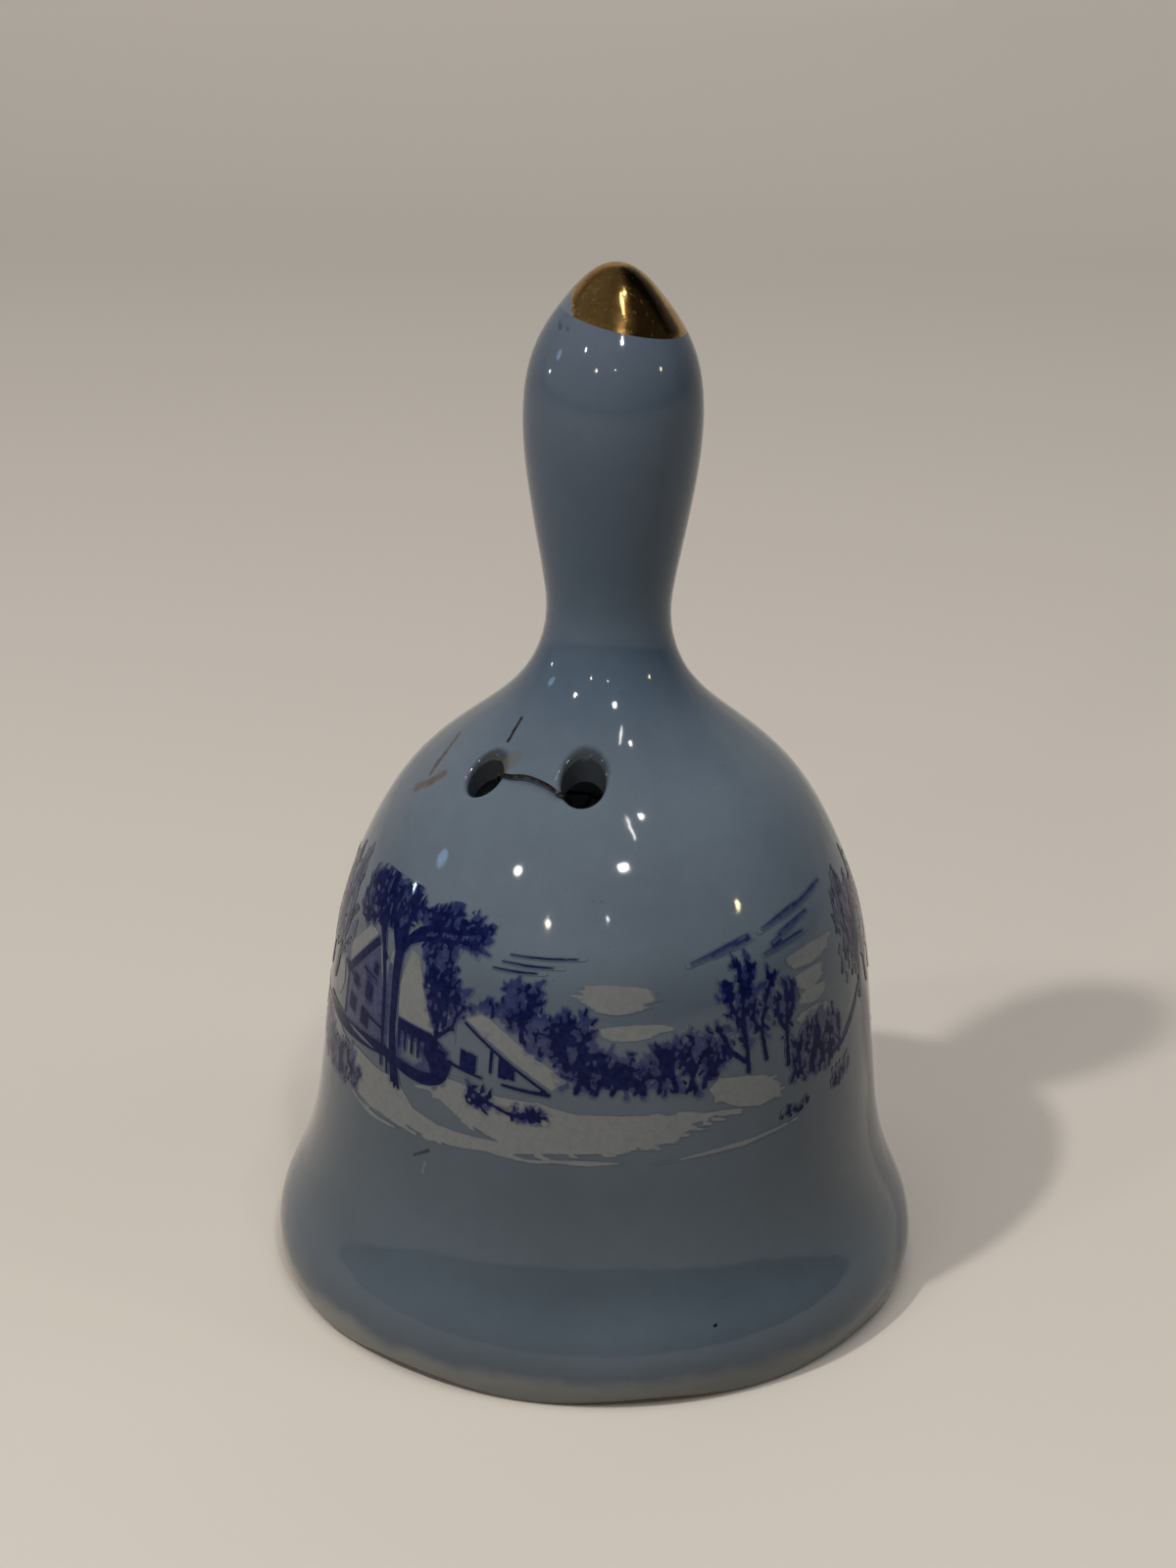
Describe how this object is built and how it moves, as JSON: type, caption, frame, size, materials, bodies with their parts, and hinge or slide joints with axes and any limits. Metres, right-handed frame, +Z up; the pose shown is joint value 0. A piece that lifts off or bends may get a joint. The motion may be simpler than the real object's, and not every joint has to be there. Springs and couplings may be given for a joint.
{
  "type": "hand bell",
  "caption": "Porcelain dinner bell with a hollow handle, gilded tip, printed winter scene and a ball clapper hung on a wire.",
  "frame": {"origin": "on the bell's axis, in the plane that the rim stands on", "axes": "+Z up the handle; -Y is the front of the print, with the two wire holes at its left; +X to the right of it"},
  "size_m": [0.084, 0.084, 0.1337],
  "materials": {
    "glaze": "gloss",
    "gold": "polished",
    "hanger_steel": "dark oxide",
    "clapper_steel": "satin",
    "ball_glaze": "gloss",
    "cobalt": "gloss",
    "snow": "gloss"
  },
  "bodies": {
    "root": {"bell_body": "glaze", "gold_tip": "gold", "hanger_wire": "hanger_steel"},
    "link": {"jump_ring": "clapper_steel"},
    "clapper": {"clapper_wire": "clapper_steel"},
    "ball": {"clapper_ball": "ball_glaze"}
  },
  "joints": [
    {"name": "swing_front_back", "type": "hinge", "parent": "root", "child": "link", "pos_m": [0, 0, 0.0541], "axis": [1, 0, 0], "range_deg": [-40, 40]},
    {"name": "swing_side", "type": "hinge", "parent": "link", "child": "clapper", "pos_m": [0, 0, 0.05088], "axis": [0, 1, 0], "range_deg": [-17, 17]},
    {"name": "ball_spin", "type": "hinge", "parent": "clapper", "child": "ball", "pos_m": [0, 0, 0.017], "axis": [0, 0, 1], "continuous": true}
  ]
}
